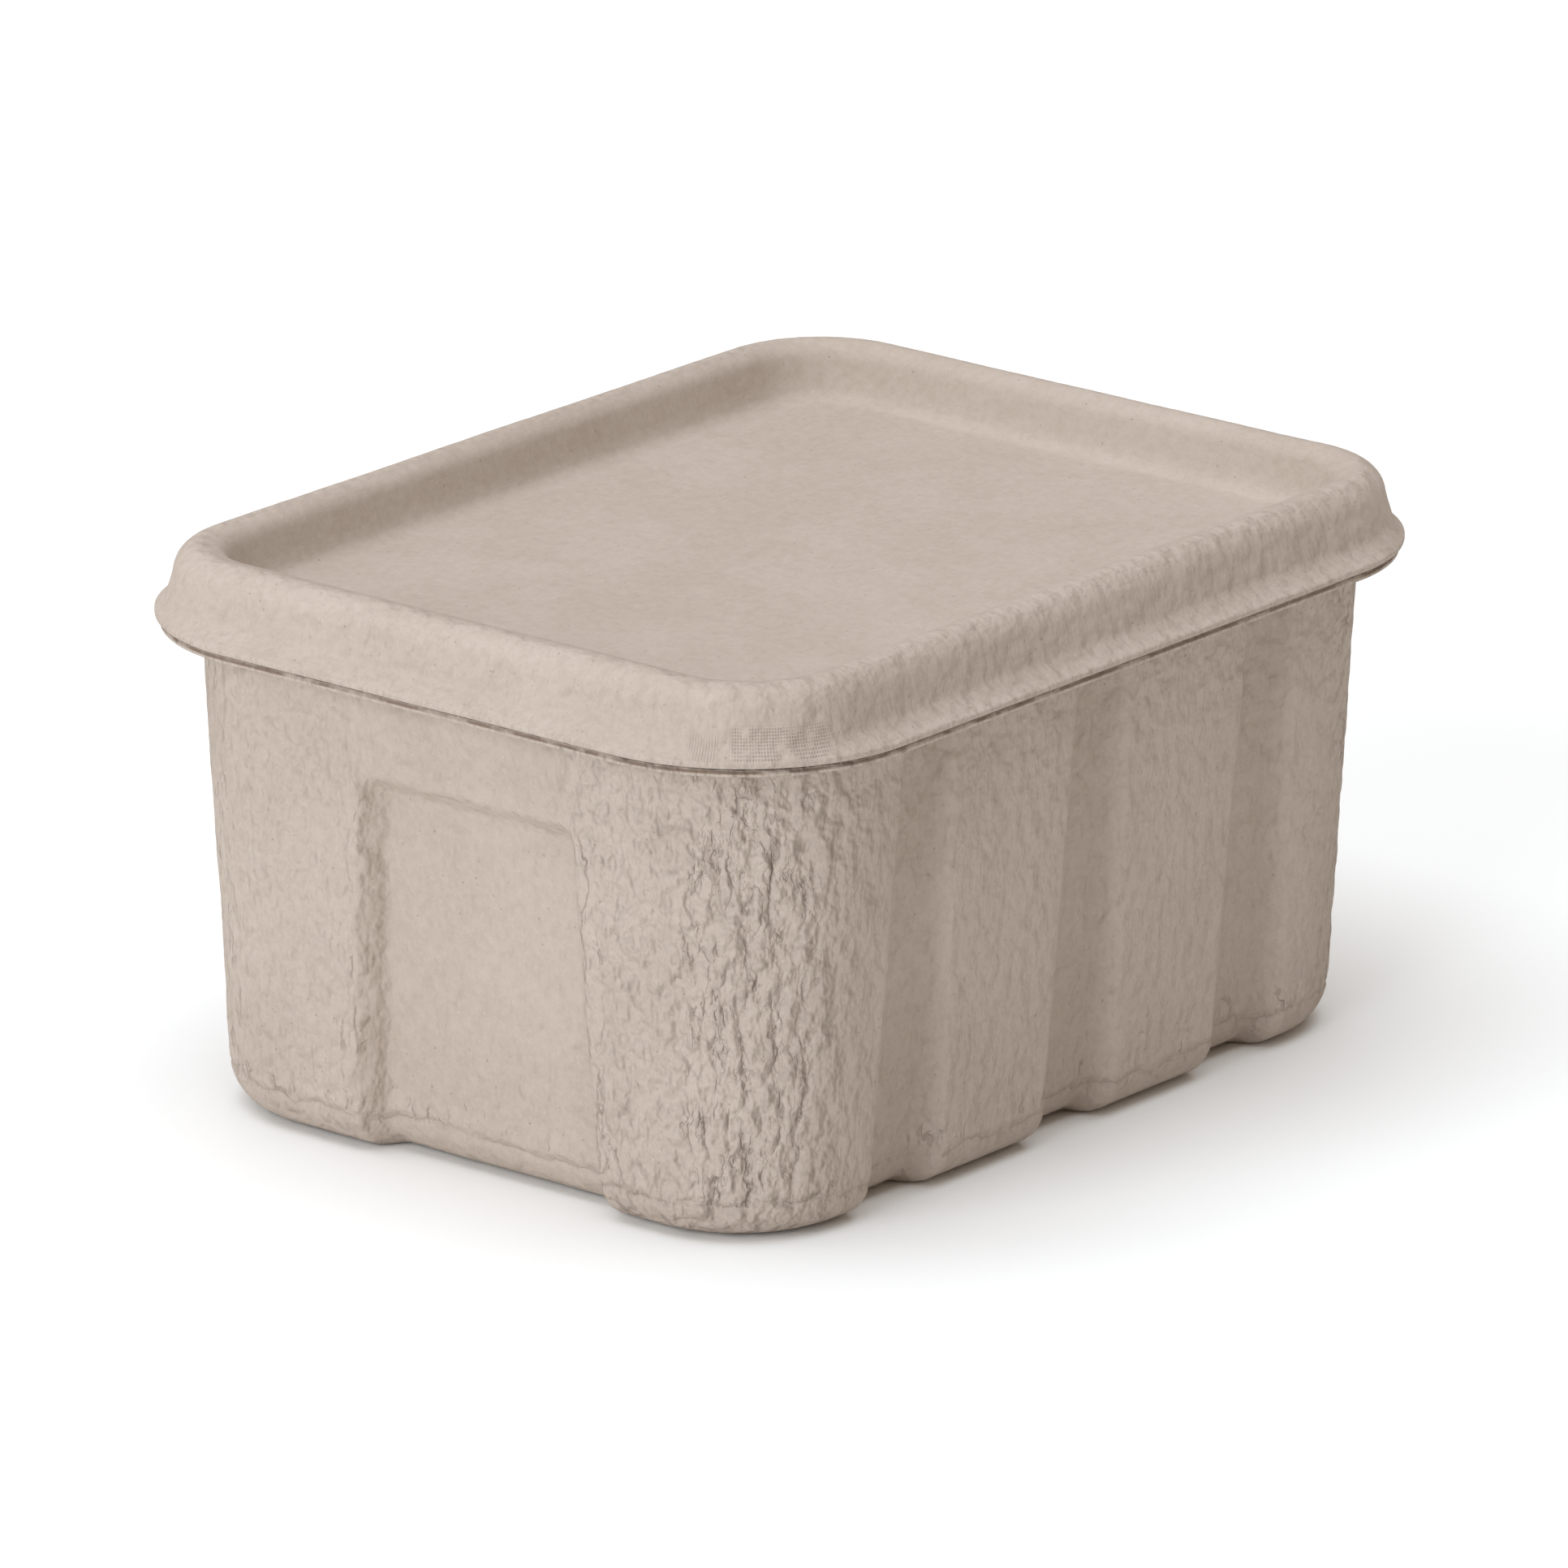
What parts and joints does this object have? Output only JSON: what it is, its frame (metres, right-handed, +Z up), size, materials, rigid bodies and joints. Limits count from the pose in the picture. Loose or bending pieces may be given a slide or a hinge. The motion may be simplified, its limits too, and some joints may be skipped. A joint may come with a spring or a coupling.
{
  "type": "egg carton",
  "caption": "Deep moulded-fibre egg carton: a fluted tub with a flange, a lift-off lid with a raised rim and sunk top, and an egg cell tray inside.",
  "frame": {"origin": "centre of the tub's underside, on the surface the carton stands on", "axes": "+Z up, +X along the long side, +Y along the short side"},
  "size_m": [0.205, 0.161, 0.105],
  "materials": {
    "tub_pulp": "rough moulded fibre, wrinkled where it was drawn",
    "lid_pulp": "smooth moulded fibre, matte",
    "tray_pulp": "rough moulded fibre, matte"
  },
  "bodies": {
    "tub": {"tub": "tub_pulp"},
    "lid": {"lid": "lid_pulp"},
    "tray": {"cell_1a": "tray_pulp", "cell_1b": "tray_pulp", "cell_1c": "tray_pulp", "cell_2a": "tray_pulp", "cell_2b": "tray_pulp", "cell_2c": "tray_pulp", "cell_3a": "tray_pulp", "cell_3b": "tray_pulp", "cell_3c": "tray_pulp", "cell_4a": "tray_pulp", "cell_4b": "tray_pulp", "cell_4c": "tray_pulp"}
  },
  "joints": [
    {"name": "lid_lift", "type": "slide", "parent": "tub", "child": "lid", "axis": [0, 0, 1], "range_m": [0, 0.16]},
    {"name": "tray_lift", "type": "slide", "parent": "tub", "child": "tray", "axis": [0, 0, 1], "range_m": [0, 0.1]}
  ],
  "couplings": [
    {"joint": "tray_lift", "follows": "lid_lift", "ratio": 0.625}
  ]
}
